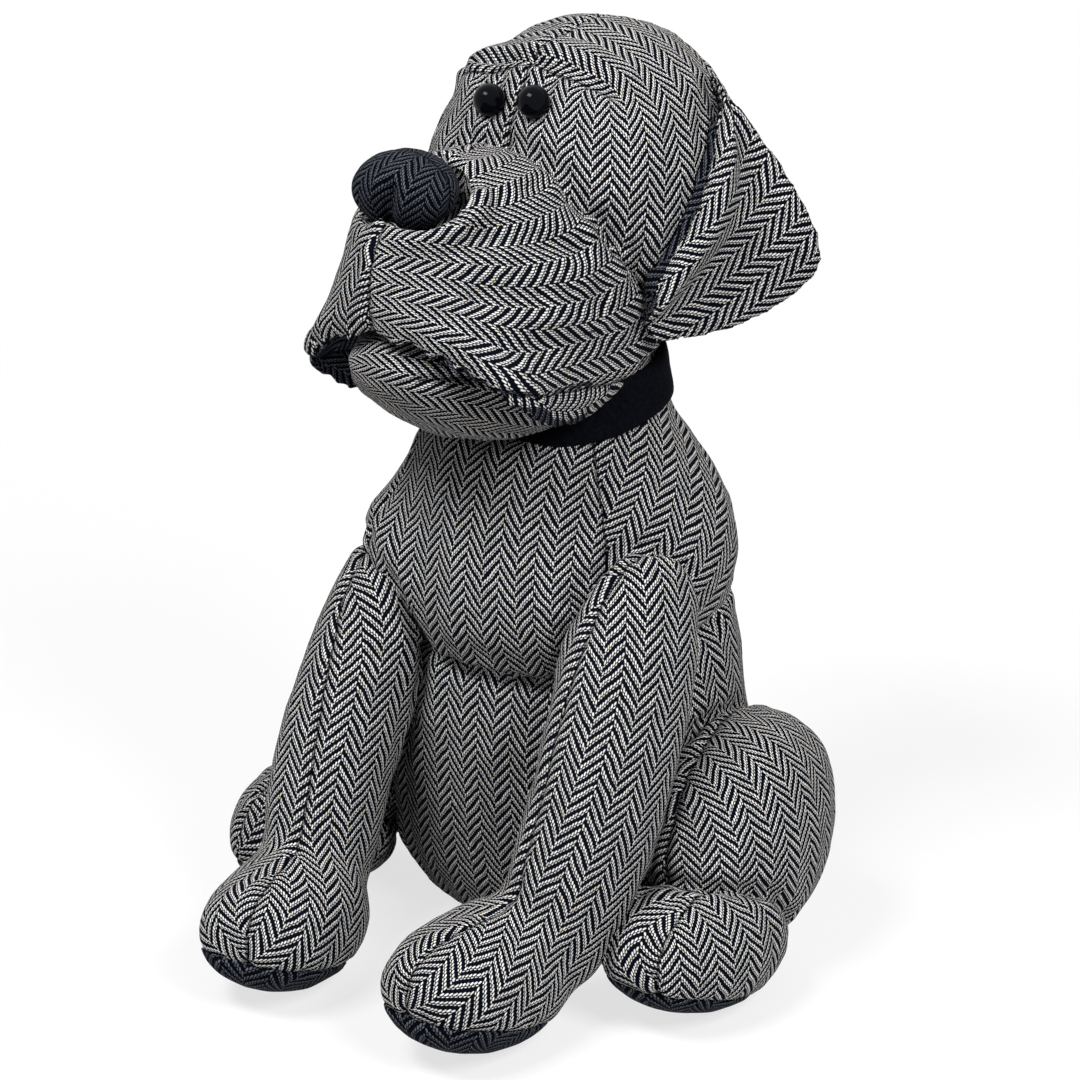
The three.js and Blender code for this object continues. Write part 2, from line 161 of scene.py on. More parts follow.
def soft_box(name, place, size, watts):
    """A rectangular area lamp that faces the dog."""
    lamp = bpy.data.lights.new(name, "AREA")
    lamp.shape = "RECTANGLE"
    lamp.size, lamp.size_y = size
    lamp.energy = watts
    box = bpy.data.objects.new(name, lamp)
    box.location = place
    box.rotation_euler = (DOG_MIDDLE - Vector(place)).to_track_quat("-Z", "Y").to_euler()
    bpy.context.scene.collection.objects.link(box)
    return box


soft_box("front box", (-0.2, -0.75, 1.3), (0.6, 0.4), 18)
soft_box("low box", (-0.5, -1.2, 0.3), (0.5, 0.3), 1).visible_glossy = False
soft_box("side box", (1.0, -0.35, 1.0), (0.5, 0.5), 15).visible_glossy = False
soft_box("back box", (-0.3, 1.0, 0.8), (0.7, 0.5), 5).visible_glossy = False

# %% Floor
FLOOR_RADIUS = 0.9
FADE_FROM, FADE_TO = 0.22, 0.75  # metres from the middle
GLOW = 0.72  # share of the seen floor that is plain white, so that only a soft shadow is left

bpy.ops.mesh.primitive_circle_add(vertices=96, radius=FLOOR_RADIUS, fill_type="NGON")
floor = bpy.context.object
floor.name = "pale_floor"
floor_paint, tree = new_material("pale floor")
place = node(tree, "ShaderNodeTexCoord").outputs["Object"]
away = node(tree, VECTOR, {0: place}, operation="LENGTH").outputs["Value"]
fade = node(tree, RANGE, {0: away, 1: FADE_FROM, 2: FADE_TO, 3: 0.0, 4: 1.0}, interpolation_type="SMOOTHSTEP")
seen = seen_as_backdrop(tree)
colour = node(tree, "ShaderNodeMix", {0: seen, 6: linear("#D0D0D0"), 7: linear("#F6F6F6")}, data_type="RGBA")
lit = node(tree, "ShaderNodeBsdfDiffuse", {"Color": colour.outputs[2]})
glow = node(tree, "ShaderNodeEmission", {"Color": WHITE, "Strength": 1.0})
share = node(tree, MATH, {0: seen, 1: GLOW}, operation="MULTIPLY")
pale = node(tree, "ShaderNodeMixShader", {0: share, 1: lit, 2: glow})
clear = node(tree, "ShaderNodeBsdfTransparent")
surface = node(tree, "ShaderNodeMixShader", {0: fade, 1: pale, 2: clear})
node(tree, "ShaderNodeOutputMaterial", {"Surface": surface})
floor.data.materials.append(floor_paint)
print("a floor of", 2 * FLOOR_RADIUS, "m across")

# %% [markdown]
# ## Herringbone tweed
# The cloth is a woollen 2/2 twill: off-white yarns float over two dark ones and dive under two, each one
# step on. The steps draw slanting lines, and every eighth yarn the slant turns back, which makes the
# herringbone's columns. An image could show it, but a pattern worked out from the yarn's own sizes stays
# sharp close up. It reads a UV map that is in millimetres, so that it lies as large on a foot as it does on
# the chest.

# %% Weave sizes
YARN = 0.72  # mm between two off-white yarns
PICK = 0.87  # mm between two dark yarns
COLUMN = 8 * YARN
REPEAT = 4 * PICK
LEAN = 0.24  # how far a float leans over, per mm of its length
print("columns of", round(COLUMN, 2), "mm, a repeat of", round(REPEAT, 2), "mm")

# %% [markdown]
# Wool is never quite straight, so the map is first shifted by a slow noise, about half a millimetre either
# way. Then come the column that a point lies in, the yarn in that column, and the float on that yarn.

# %% The float under a point
def uneven_cloth(tree):
    """The place on the cloth in mm, a little out of line as hand-cut wool is."""
    cloth = node(tree, "ShaderNodeUVMap", uv_map="weave")
    drift = {"Vector": cloth, "Scale": 0.16, "Detail": 2.0}
    wobble = node(tree, "ShaderNodeTexNoise", drift, noise_dimensions="2D").outputs["Color"]
    shifted = node(tree, VECTOR, {0: wobble, 1: (0.5, 0.5, 0.5)}, operation="SUBTRACT")
    return node(tree, VECTOR, {0: shifted, 1: (1.1, 1.1, 0), 2: cloth}, operation="MULTIPLY_ADD")


def find_float(tree, cloth):
    """How far aside and ahead of its float's middle a point lies, and a number of chance for that float."""
    split = node(tree, "ShaderNodeSeparateXYZ", {0: cloth}).outputs
    column = node(tree, MATH, {0: split["X"], 1: COLUMN}, operation="DIVIDE")
    column = node(tree, MATH, {0: column}, operation="FLOOR")
    odd = node(tree, MATH, {0: column}, operation="ABSOLUTE")
    odd = node(tree, MATH, {0: odd, 1: 2.0}, operation="MODULO")
    start = node(tree, MATH, {0: odd, 1: 2 * PICK}, operation="MULTIPLY")
    along = node(tree, MATH, {0: split["Y"], 1: start}, operation="ADD")

    # the slant: the way across the column runs back in every other one
    zigzag = node(tree, MATH, {0: split["X"], 1: COLUMN}, operation="PINGPONG")
    steps = node(tree, MATH, {0: zigzag, 1: PICK / YARN, 2: along}, operation="MULTIPLY_ADD")
    steps = node(tree, MATH, {0: steps, 1: REPEAT}, operation="DIVIDE")
    loose = node(tree, MATH, {0: steps}, operation="FRACT")
    loose = node(tree, MATH, {0: loose, 1: 0.25}, operation="SUBTRACT")
    leaning = node(tree, MATH, {0: loose, 1: REPEAT * LEAN, 2: zigzag}, operation="MULTIPLY_ADD")

    # the yarn, and how far the point lies aside of its middle, in widths of a yarn
    yarns = node(tree, MATH, {0: leaning, 1: YARN}, operation="DIVIDE")
    yarn = node(tree, MATH, {0: yarns}, operation="FLOOR")
    aside = node(tree, MATH, {0: yarns, 1: yarn}, operation="SUBTRACT")
    aside = node(tree, MATH, {0: aside, 1: 0.5}, operation="SUBTRACT")

    # the float on the yarn, and how far ahead of its middle the point lies, in picks
    middle = node(tree, MATH, {0: yarn, 1: 0.5}, operation="ADD")
    repeat = node(tree, MATH, {0: middle, 1: PICK, 2: along}, operation="MULTIPLY_ADD")
    repeat = node(tree, MATH, {0: repeat, 1: REPEAT}, operation="DIVIDE")
    ahead = node(tree, MATH, {0: repeat}, operation="FRACT")
    ahead = node(tree, MATH, {0: ahead, 1: 0.25}, operation="SUBTRACT")
    ahead = node(tree, MATH, {0: ahead, 1: 4.0}, operation="MULTIPLY")

    # chance, the same all over one float
    thread = node(tree, MATH, {0: column, 1: 37.0, 2: yarn}, operation="MULTIPLY_ADD")
    number = node(tree, MATH, {0: repeat}, operation="FLOOR")
    label = node(tree, "ShaderNodeCombineXYZ", {0: thread, 1: number})
    chance = node(tree, "ShaderNodeTexWhiteNoise", {"Vector": label}, noise_dimensions="2D").outputs["Value"]
    return aside, ahead, chance


print("every second column starts", 2 * PICK, "mm on, so the points of its slants meet")

# %% [markdown]
# A float is a rounded lozenge: it stands proud in its middle and dives under at its ends. Its colour is
# off-white wool, each float a little lighter or darker, with a few thick cream slubs, and painted shade
# towards its edges, where its round back turns from the light. Between the floats lies the dark yarn, its
# tone varied by a noise that is partly its own uneven fibres and partly painted glints where they catch the
# light.

# %% The look of a float
HALF_WIDTH, HALF_LENGTH = 0.42, 0.73  # of a float, in widths of a yarn and in picks
SLUBS = 0.985  # the chance above which a float is a slub


def shape_float(tree, aside, ahead):
    """1 where the float lies on top and 0 beside it, and how high its round back stands."""
    width = node(tree, MATH, {0: aside}, operation="ABSOLUTE")
    width = node(tree, MATH, {0: width, 1: HALF_WIDTH}, operation="DIVIDE")
    width = node(tree, MATH, {0: width, 1: 2.2}, operation="POWER")
    length = node(tree, MATH, {0: ahead}, operation="ABSOLUTE")
    length = node(tree, MATH, {0: length, 1: HALF_LENGTH}, operation="DIVIDE")
    length = node(tree, MATH, {0: length, 1: 3.0}, operation="POWER")
    out = node(tree, MATH, {0: width, 1: length}, operation="ADD")
    over = node(tree, RANGE, {0: out, 1: 1.3, 2: 0.55, 3: 0.0, 4: 1.0}, interpolation_type="SMOOTHSTEP")
    drop = node(tree, MATH, {0: out, 1: 0.45}, operation="MULTIPLY")
    return over, node(tree, MATH, {0: 1.0, 1: drop}, operation="SUBTRACT")


def colour_yarns(tree, cloth, chance, over, crown, light, dark, slub):
    """The colour of the light floats and of the dark yarn between them, with painted shade towards each
    float's edges and a noise on the dark yarn that is partly its uneven fibres and partly painted glints.
    """
    tone = node(tree, RANGE, {0: chance, 1: 0.0, 2: 1.0, 3: 0.74, 4: 1.08})
    # painted shade: each float's colour darkens towards its edges, where its round back turns from the light
    painted_crown_shade = node(tree, RANGE, {0: crown, 1: 0.3, 2: 1.0, 3: 0.72, 4: 1.0})
    shade = node(tree, MATH, {0: tone, 1: painted_crown_shade}, operation="MULTIPLY")
    pale = node(tree, VECTOR, {0: linear(light)[:3], "Scale": shade}, operation="SCALE")
    rare = node(tree, MATH, {0: chance, 1: SLUBS}, operation="GREATER_THAN")
    pale = node(tree, "ShaderNodeMix", {0: rare, 6: pale, 7: linear(slub)}, data_type="RGBA").outputs[2]
    # the dark yarn's colour varies by a noise: partly its own uneven fibres, partly painted glints where
    # fibres catch the light
    fibre_tone_and_glint_noise = {"Vector": cloth, "Scale": 1.6, "Detail": 3.0}
    wool = node(tree, "ShaderNodeTexNoise", fibre_tone_and_glint_noise, noise_dimensions="2D").outputs["Fac"]
    shade = node(tree, MATH, {0: wool, 1: 1.5, 2: 0.25}, operation="MULTIPLY_ADD")
    deep = node(tree, VECTOR, {0: linear(dark)[:3], "Scale": shade}, operation="SCALE")
    return node(tree, "ShaderNodeMix", {0: over, 6: deep, 7: pale}, data_type="RGBA").outputs[2]


float_size = 2 * HALF_LENGTH * PICK, 2 * HALF_WIDTH * YARN
print("a float is", round(float_size[0], 2), "mm long and", round(float_size[1], 2), "mm wide")

# %% [markdown]
# Woollen cloth is matt: its hairs scatter the light, so its roughness is high and its gloss nearly nil. A
# seam shows as a dark line: partly the sewn join itself, partly painted shade in its groove. It is read from
# the distance that each point of the mesh has to its seam.

# %% Two tweeds
def herringbone(name, light, dark, slub):
    """A woollen herringbone: light floats over dark yarn."""
    made, tree = new_material(name)
    cloth = uneven_cloth(tree)
    aside, ahead, chance = find_float(tree, cloth)
    over, crown = shape_float(tree, aside, ahead)
    colour = colour_yarns(tree, cloth, chance, over, crown, light, dark, slub)
    seam = node(tree, "ShaderNodeAttribute", attribute_name="seam").outputs["Fac"]
    # painted shade: the colour darkens close to a seam, partly for the join itself, partly for the shade in
    # its groove
    line = node(tree, RANGE, {0: seam, 1: 0.15, 2: 0.75, 3: 0.22, 4: 1.0}, interpolation_type="SMOOTHSTEP")
    colour = node(tree, VECTOR, {0: colour, "Scale": line}, operation="SCALE")
    height = node(tree, MATH, {0: over, 1: crown}, operation="MULTIPLY")
    relief = node(tree, "ShaderNodeBump", {"Height": height, "Strength": 0.55, "Distance": 0.28 * MM})
    wool = node(tree, "ShaderNodeBsdfPrincipled", {
        "Base Color": colour, "Roughness": 0.92, "IOR": 1.5, "Specular IOR Level": 0.02, "Normal": relief,
    })
    node(tree, "ShaderNodeOutputMaterial", {"Surface": wool})
    return made


tweed = herringbone("herringbone_tweed", "#EBE9E6", "#080B14", "#D9CFBC")
dark_tweed = herringbone("dark_herringbone_tweed", "#60636E", "#05070C", "#5E5D62")
print("two tweeds of", len(tweed.node_tree.nodes), "nodes each")

# %% [markdown]
# ## Collar cloth and beads
# The collar is a plain dark felt: its wool is milled so close that no yarn shows, only a matt skin with a
# faint grain. The eyes are beads, moulded of black acrylic plastic with an IOR of 1.49 and polished, so
# they show small sharp lights.

# %% Collar cloth
FELT_GRAIN = 900.0  # waves per metre: grains of about 1 mm, coarser than real fibres so that they show

collar_cloth, tree = new_material("dark_felted_cloth")
place = node(tree, "ShaderNodeTexCoord").outputs["Object"]
grain = node(tree, "ShaderNodeTexNoise", {"Vector": place, "Scale": FELT_GRAIN, "Detail": 4.0}).outputs["Fac"]
shade = node(tree, RANGE, {0: grain, 1: 0.3, 2: 0.7, 3: 0.55, 4: 1.5})
felt = node(tree, VECTOR, {0: linear("#0B0C11")[:3], "Scale": shade}, operation="SCALE")
relief = node(tree, "ShaderNodeBump", {"Height": grain, "Strength": 0.5, "Distance": 0.3 * MM})
finish = node(tree, "ShaderNodeBsdfPrincipled", {
    "Base Color": felt, "Roughness": 0.95, "Specular IOR Level": 0.02, "Normal": relief,
})
node(tree, "ShaderNodeOutputMaterial", {"Surface": finish})
print(collar_cloth.name, "has", len(tree.nodes), "nodes")

# %% Bead plastic
black_bead, tree = new_material("polished_black_plastic")
finish = node(tree, "ShaderNodeBsdfPrincipled", {
    "Base Color": linear("#04050A"), "Roughness": 0.09, "IOR": 1.49, "Specular IOR Level": 0.075,
})
node(tree, "ShaderNodeOutputMaterial", {"Surface": finish})
print(black_bead.name, "has", len(tree.nodes), "nodes")

# %% [markdown]
# ## From solid to cloth
# A stuffed piece has no flat facets: its cloth runs over the filling in one even skin. It could be sculpted
# by hand, but a voxel remesh of the CAD solid, softened a few times, gives the same skin every time. First
# come a few helpers that read and move the points of a mesh.

# %% Points of a mesh
def points_of(mesh):
    flat = np.empty(len(mesh.vertices) * 3)
    mesh.vertices.foreach_get("co", flat)
    return flat.reshape(-1, 3)


def normals_of(mesh):
    flat = np.empty(len(mesh.vertices) * 3, np.float32)
    mesh.vertex_normals.foreach_get("vector", flat)
    return flat.reshape(-1, 3).astype(float)


def move_points(mesh, points):
    mesh.vertices.foreach_set("co", np.asarray(points, float).ravel())
    mesh.update()


nose_points = points_of(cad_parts["nose"].data)
print("the CAD nose is", np.round(np.ptp(nose_points, axis=0) / MM, 1), "mm")


# %% Modifiers and solids
def apply_modifiers(piece):
    """Puts what the modifiers show into the mesh."""
    shown = piece.evaluated_get(bpy.context.evaluated_depsgraph_get())
    mesh = bpy.data.meshes.new_from_object(shown)
    piece.modifiers.clear()
    piece.data = mesh


def solid_tree(name):
    """A CAD solid, ready to be asked for its nearest point."""
    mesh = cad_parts[name].data
    return BVHTree.FromPolygons([v.co for v in mesh.vertices], [p.vertices for p in mesh.polygons])


gap = solid_tree("nose").find_nearest(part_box("muzzle")[1])[3]
print("from the muzzle's top corner to the nose:", round(gap / MM, 1), "mm")

# %% [markdown]
# A remesh can leave small loose bits of a thin wall. They are found by sorting the points into linked
# groups, and the same sorting finds the panels of a skin later on.

# %% Linked groups
def linked_groups(elements, neighbours):
    """Sorts linked verts or faces into groups, in the order of each group's first one."""
    left = set(elements)
    groups = []
    for first in elements:
        if first not in left:
            continue
        left.discard(first)
        group, front = [], [first]
        while front:
            last = front.pop()
            group.append(last)
            for other in neighbours(last):
                if other in left:
                    left.discard(other)
                    front.append(other)
        groups.append(group)
    return groups


def drop_crumbs(piece):
    """Removes the loose bits of a skin that are under a tenth of its largest part."""
    mesh = bmesh.new()
    mesh.from_mesh(piece.data)
    parts = linked_groups(mesh.verts, lambda vert: [edge.other_vert(vert) for edge in vert.link_edges])
    least = 0.1 * max(len(part) for part in parts)
    crumbs = [vert for part in parts if len(part) < least for vert in part]
    bmesh.ops.delete(mesh, geom=crumbs, context="VERTS")
    mesh.to_mesh(piece.data)
    mesh.free()
    return len(crumbs)


print("groups among 1, 2, 5 and 6:", linked_groups([1, 2, 5, 6], lambda n: (n - 1, n + 1)))

# %% [markdown]
# Where a piece is sewn on, its rim is run on a few millimetres into the piece below, so that no gap opens
# at the join. A foot is different: it sinks straight down into its sole, because a sole is only as thick as
# its cloth.

# %% Skin of a piece
TUCK = 3.0  # mm that a rim runs on into the piece below
SOLE_DEPTH = 1.2  # mm that a foot sinks into its sole
TOUCHING = 0.9  # mm: points nearer than this to another solid are on their join


def skin_of(name, source, under, voxel, rounds):
    """An even skin over a CAD solid, its rim run on into the pieces it is sewn to."""
    mesh = bmesh.new()
    mesh.from_mesh(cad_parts[source].data)
    bmesh.ops.remove_doubles(mesh, verts=mesh.verts, dist=1e-6)
    for other in under:
        below = solid_tree(other)
        for v in mesh.verts:
            place, normal = below.find_nearest(v.co, TOUCHING * MM)[:2]
            if place is not None:
                v.co -= Vector((0, 0, SOLE_DEPTH * MM)) if "sole" in other else normal * TUCK * MM
    piece = bpy.data.objects.new(name, bpy.data.meshes.new(name))
    mesh.to_mesh(piece.data)
    mesh.free()
    bpy.context.scene.collection.objects.link(piece)
    even = piece.modifiers.new("even", "REMESH")
    even.mode = "VOXEL"
    even.voxel_size = voxel * MM
    soft = piece.modifiers.new("soft", "SMOOTH")
    soft.factor = 0.5
    soft.iterations = rounds
    apply_modifiers(piece)
    crumbs = drop_crumbs(piece)
    print(name, "skin of", len(piece.data.vertices), "points,", crumbs, "loose ones dropped")
    return piece


# %% [markdown]
# ## Panels and their weave
# The cloth was cut flat and sewn, so the herringbone breaks at every seam and runs straight inside each
# panel. A box projection would smear on the round sides. So the skin is cut where the real seams run, and
# each panel is unwrapped with little stretch, turned until its columns follow the grain, and scaled to
# millimetres.

# %% Cutting the panels
SNAP = 0.35  # mm: a cut goes through points nearer than this, and leaves no slivers


def cut_panels(piece, seams):
    """Cuts edges into the skin along planes and marks them. A seam is (point in mm, normal, where)."""
    mesh = bmesh.new()
    mesh.from_mesh(piece.data)
    for point, normal, where in seams:
        faces = [f for f in mesh.faces if where is None or where(f.calc_center_median() / MM)]
        edges = {e for f in faces for e in f.edges}
        verts = {v for f in faces for v in f.verts}
        geom = [*faces, *edges, *verts]
        plane = {"plane_co": Vector(point) * MM, "plane_no": Vector(normal)}
        cut = bmesh.ops.bisect_plane(mesh, geom=geom, dist=SNAP * MM, **plane)
        for part in cut["geom_cut"]:
            if isinstance(part, bmesh.types.BMEdge):
                part.seam = True
    mesh.to_mesh(piece.data)
    mesh.free()


print("a cut snaps to points within", SNAP, "mm")


# %% Parting the sides of a flap
def part_sides(piece):
    """Marks the rim of a thin flap as its seam, between the faces of its front and those of its back."""
    mesh = bmesh.new()
    mesh.from_mesh(piece.data)
    points = points_of(piece.data)
    facing = Vector(np.linalg.svd(points - points.mean(0), full_matrices=False)[2][2])
    front = {f: f.normal.dot(facing) > 0 for f in mesh.faces}
    for _ in range(6):  # rounds of voting, in which each face joins the side of most of its neighbours
        votes = {f: sum(front[g] for e in f.edges for g in e.link_faces) for f in mesh.faces}
        front = {f: votes[f] > len(f.edges) for f in mesh.faces}
    for edge in mesh.edges:
        edge.seam = len({front[f] for f in edge.link_faces}) > 1
    mesh.to_mesh(piece.data)
    mesh.free()


print("flaps to part:", [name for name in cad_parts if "ear" in name])

# %% [markdown]
# The unwrapped panel lies at any angle and size. Near one anchor point, the way that the real grain runs is
# carried over into the UV map, triangle by triangle. Their mean gives the turn and the scale that the whole
# panel needs.

# %% Reading the grain in the map
NEARBY = 20  # mm round the anchor that count
FALL_OFF = 9  # mm over which a triangle counts less and less


def grain_in_map(group, uv, home, direction):
    """The angle at which a direction runs in the map near a place, and how many metres one UV unit is."""
    turned, stretch, counted = Vector((0, 0)), 0.0, 0.0
    for face in group:
        a, *others = face.loops
        away = (a.vert.co - home.vert.co).length
        if away > NEARBY * MM:
            continue
        for b, c in zip(others, others[1:]):
            e1, e2 = b.vert.co - a.vert.co, c.vert.co - a.vert.co
            f1, f2 = b[uv].uv - a[uv].uv, c[uv].uv - a[uv].uv
            g11, g12, g22 = e1.dot(e1), e1.dot(e2), e2.dot(e2)
            size = g11 * g22 - g12 * g12
            if size < 1e-20:
                continue
            d1, d2 = direction.dot(e1), direction.dot(e2)
            step = f1 * ((d1 * g22 - d2 * g12) / size) + f2 * ((d2 * g11 - d1 * g12) / size)
            share = math.sqrt(size) * math.exp(-((away / (FALL_OFF * MM)) ** 2))
            if step.length > 0:
                turned += step.normalized() * share
                stretch += step.length * share
                counted += share
    return math.atan2(turned.y, turned.x), counted / max(stretch, 1e-12)


print("the grain is read within", NEARBY, "mm of each anchor")


# %% Laying the weave
def neighbours_in_panel(face):
    return [other for edge in face.edges if not edge.seam for other in edge.link_faces]


def middle_of(group):
    whole = sum(face.calc_area() for face in group)
    return sum((face.calc_center_median() * face.calc_area() for face in group), Vector()) / whole


def unwrap(piece):
    bpy.ops.object.select_all(action="DESELECT")
    bpy.context.view_layer.objects.active = piece
    piece.select_set(True)
    piece.data.uv_layers.new(name="weave")
    bpy.ops.object.mode_set(mode="EDIT")
    bpy.ops.mesh.select_all(action="SELECT")
    bpy.ops.uv.unwrap(method="MINIMUM_STRETCH", margin=0)
    bpy.ops.object.mode_set(mode="OBJECT")


def lay_weave(piece, grain):
    """Unwraps each panel, then turns and scales it so that V runs along the grain, in millimetres.
    grain(middle of the panel in mm) gives (anchor point in mm, direction)."""
    unwrap(piece)
    mesh = bmesh.new()
    mesh.from_mesh(piece.data)
    uv = mesh.loops.layers.uv["weave"]
    panels = linked_groups(mesh.faces, neighbours_in_panel)
    for number, group in enumerate(panels):
        anchor, direction = grain(middle_of(group) / MM)
        anchor, direction = Vector(anchor) * MM, Vector(direction).normalized()
        loops = (loop for face in group for loop in face.loops)
        home = min(loops, key=lambda loop: (loop.vert.co - anchor).length)
        angle, metres = grain_in_map(group, uv, home, direction)
        spin, start = Matrix.Rotation(math.pi / 2 - angle, 2), home[uv].uv.copy()
        for face in group:
            for loop in face.loops:
                loop[uv].uv = spin @ (loop[uv].uv - start) * (metres / MM) + Vector((COLUMN * number, 0))
    mesh.to_mesh(piece.data)
    mesh.free()
    print(piece.name, "has", len(panels), "panels")


# %% [markdown]
# ## Swelling by the filling
# Fibre filling presses the cloth out between its seams and leaves the seams behind: each panel is a shallow
# pillow. That is what Blender's cloth does with pressure: the seams and the sewn rims are pinned, and the
# rest is blown up. How far a point may move is capped, so that the dog keeps its outline.

# %% Cloth
SEAM_HOLD = 1.6  # mm on each side of a seam that stay where they are


def pins_of(piece, seams, under):
    """Marks the points that lie on a seam or in another piece."""
    points = points_of(piece.data) / MM
    pinned = np.zeros(len(points), bool)
    for point, normal, where in seams:
        away = np.abs((points - np.array(point)) @ np.array(Vector(normal).normalized()))
        for i in np.where(away < SEAM_HOLD)[0]:
            pinned[i] |= where is None or bool(where(Vector(points[i])))
    for other in under:
        below = solid_tree(other)
        for i, p in enumerate(points):
            place, normal, _, gap = below.find_nearest(Vector(p) * MM, 4 * MM)
            if place is not None and (gap < 1.2 * MM or (Vector(p) * MM - place).dot(normal) < 0):
                pinned[i] = True
    return np.where(pinned)[0]


def pin_down(piece, seams, under):
    """Pins the seams and rims of a skin, and gives the rest a cloth under pressure."""
    group = piece.vertex_groups.new(name="pinned")
    group.add([int(i) for i in pins_of(piece, seams, under)], 1.0, "REPLACE")
    cloth = piece.modifiers.new("cloth", "CLOTH")
    cloth.settings.quality = 5
    cloth.settings.mass = 0.3
    cloth.settings.tension_stiffness = cloth.settings.compression_stiffness = 25
    cloth.settings.shear_stiffness = 10
    cloth.settings.bending_stiffness = 0.6
    cloth.settings.use_pressure = True
    cloth.settings.uniform_pressure_force = 60
    cloth.settings.vertex_group_mass = "pinned"
    cloth.settings.effector_weights.gravity = 0
    cloth.collision_settings.use_collision = False
    cloth.point_cache.frame_start, cloth.point_cache.frame_end = 1, 16


print("a seam holds", SEAM_HOLD, "mm of cloth on each side")

# %% Swelling
SWELL_FRAMES = 14
SWELL_CAP = 2.5  # mm


def swell(skins):
    """Runs the cloth of all skins together, then keeps what it did, each point capped."""
    starts = [points_of(p.data) for p in skins]
    for number in range(1, SWELL_FRAMES + 1):
        bpy.context.scene.frame_set(number)
    for piece, start in zip(skins, starts):
        shown = piece.evaluated_get(bpy.context.evaluated_depsgraph_get())
        moved = points_of(shown.data) - start
        length = np.linalg.norm(moved, axis=1, keepdims=True)
        limit = SWELL_CAP * MM
        moved *= limit * np.tanh(length / limit) / np.maximum(length, 1e-9)
        piece.modifiers.clear()
        piece.vertex_groups.clear()
        move_points(piece.data, start + moved)
        print(piece.name, "swelled by up to", round(float(length.max()) / MM, 1), "mm before the cap")
    bpy.context.scene.frame_set(1)


print("the filling presses for", SWELL_FRAMES, "frames")

# %% [markdown]
# ## Seams, creases and lumps
# A sewn seam lies in a groove, with small puckers on both sides where the stitches draw the cloth in.
# Stuffing isn't even, so the skin between also rises and falls by half a millimetre. All of that could be
# bump in the material. Here it is moved into the mesh, so it shows in the outline as well.

# %% Distances
STITCH = 0.8  # mm between the points that stand for a seam
FAR = 12.0  # mm from which a seam or join is no longer felt


def seam_points(mesh):
    """Points a stitch apart along all edges marked as seams."""
    found = []
    for edge in mesh.edges:
        if edge.use_seam:
            a, b = (mesh.vertices[i].co for i in edge.vertices)
            steps = max(1, int((b - a).length / (STITCH * MM)))
            found += [a.lerp(b, i / steps) for i in range(steps + 1)]
    return found


def distance_to(points, places, far=FAR):
    """How far each point is from the nearest of some places, in mm, no more than far."""
    if not places:
        return np.full(len(points), far)
    tree = KDTree(len(places))
    for i, place in enumerate(places):
        tree.insert(place, i)
    tree.balance()
    return np.array([min(far, tree.find(Vector(p))[2] / MM) for p in points])


def distance_to_solids(points, names):
    """How far each point is from the nearest of some CAD solids, in mm, no more than FAR."""
    nearest = np.full(len(points), FAR)
    for name in names:
        other = solid_tree(name)
        for i, p in enumerate(points):
            gap = other.find_nearest(Vector(p), nearest[i] * MM)[3]
            if gap is not None:
                nearest[i] = gap / MM
    return nearest


print("from the nose to the chin:", round(float(distance_to_solids(nose_points, ("chin",)).min()), 1), "mm")

# %% [markdown]
# A groove, a ridge and a fold are all made of one bell curve over a distance. Puckers and lumps are smooth
# noise: fine puckers at a seam, wider gathers where a piece is sewn on, and slow lumps all over.

# %% Sewing
def bell(distance, middle, width):
    """1 at the middle, falling off on both sides over a width."""
    return np.exp(-(((distance - middle) / width) ** 2))


def noise_at(points, size, seed):
    """Smooth noise of about -1 to 1 that changes over size millimetres."""
    shift = Vector((seed * 7.31, seed * 3.17, seed * 5.71))
    return np.array([noise.noise(Vector(p) / (size * MM) + shift) for p in points])


def crease_rise(points, path, depth, width):
    """A fold along a path of points in mm, with a low swell beside it. A depth below zero makes a ridge."""
    along = [Vector(a).lerp(Vector(b), i / 12) * MM for a, b in zip(path, path[1:]) for i in range(13)]
    close = distance_to(points, along, 40)
    return -depth * bell(close, 0, width) + 0.35 * depth * bell(close, 1.9 * width, width)


def sew(piece, meets=(), groove=1.0, lumps=0.5, puckers=0.45, creases=(), seed=1.0, levels=1):
    """Subdivides the skin, then presses in its seams, its joins to other solids and its creases."""
    finer = piece.modifiers.new("finer", "SUBSURF")
    finer.levels = finer.render_levels = levels
    finer.uv_smooth = "PRESERVE_BOUNDARIES"
    apply_modifiers(piece)
    mesh = piece.data
    points, outward = points_of(mesh), normals_of(mesh)
    near = distance_to(points, seam_points(mesh))
    join = distance_to_solids(points, meets)
    rise = -groove * bell(near, 0, 1.3) + 0.3 * groove * bell(near, 3.2, 1.8)
    rise -= 1.3 * groove * bell(join, 0, 2.4) - 0.4 * groove * bell(join, 5.5, 2.5)
    rise += puckers * np.exp(-np.minimum(near, 0.8 * join) / 4.5) * noise_at(points, 3.2, seed)
    rise += 2.6 * puckers * np.exp(-join / 9) * noise_at(points, 6.5, seed + 1)
    rise += lumps * noise_at(points, 17, seed + 3) + 0.4 * lumps * noise_at(points, 8, seed + 5)
    for path, depth, width in creases:
        rise += crease_rise(points, path, depth, width)
    points += outward * rise[:, None] * MM
    points[:, 2] = np.maximum(points[:, 2], 0.0)
    move_points(mesh, points)
    # distance to the nearest seam, from which the tweed paints its dark seam line: partly the join, partly
    # painted shade in the groove
    mark = mesh.attributes.new("seam", "FLOAT", "POINT")
    mark.data.foreach_set("value", near.astype(np.float32))
    mesh.shade_smooth()


print("a groove is", round(float(bell(1.3, 0, 1.3)), 2), "as deep 1.3 mm from its seam")


# %% Dressing
def dress(piece, cloth, node_name):
    """Gives a finished piece its cloth, hangs it on the root body and hides the CAD part that it stands for.
    """
    piece.data.materials.clear()
    piece.data.materials.append(cloth)
    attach(piece, "root")
    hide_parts(node_name)
    print(piece.name, len(piece.data.polygons), "faces")


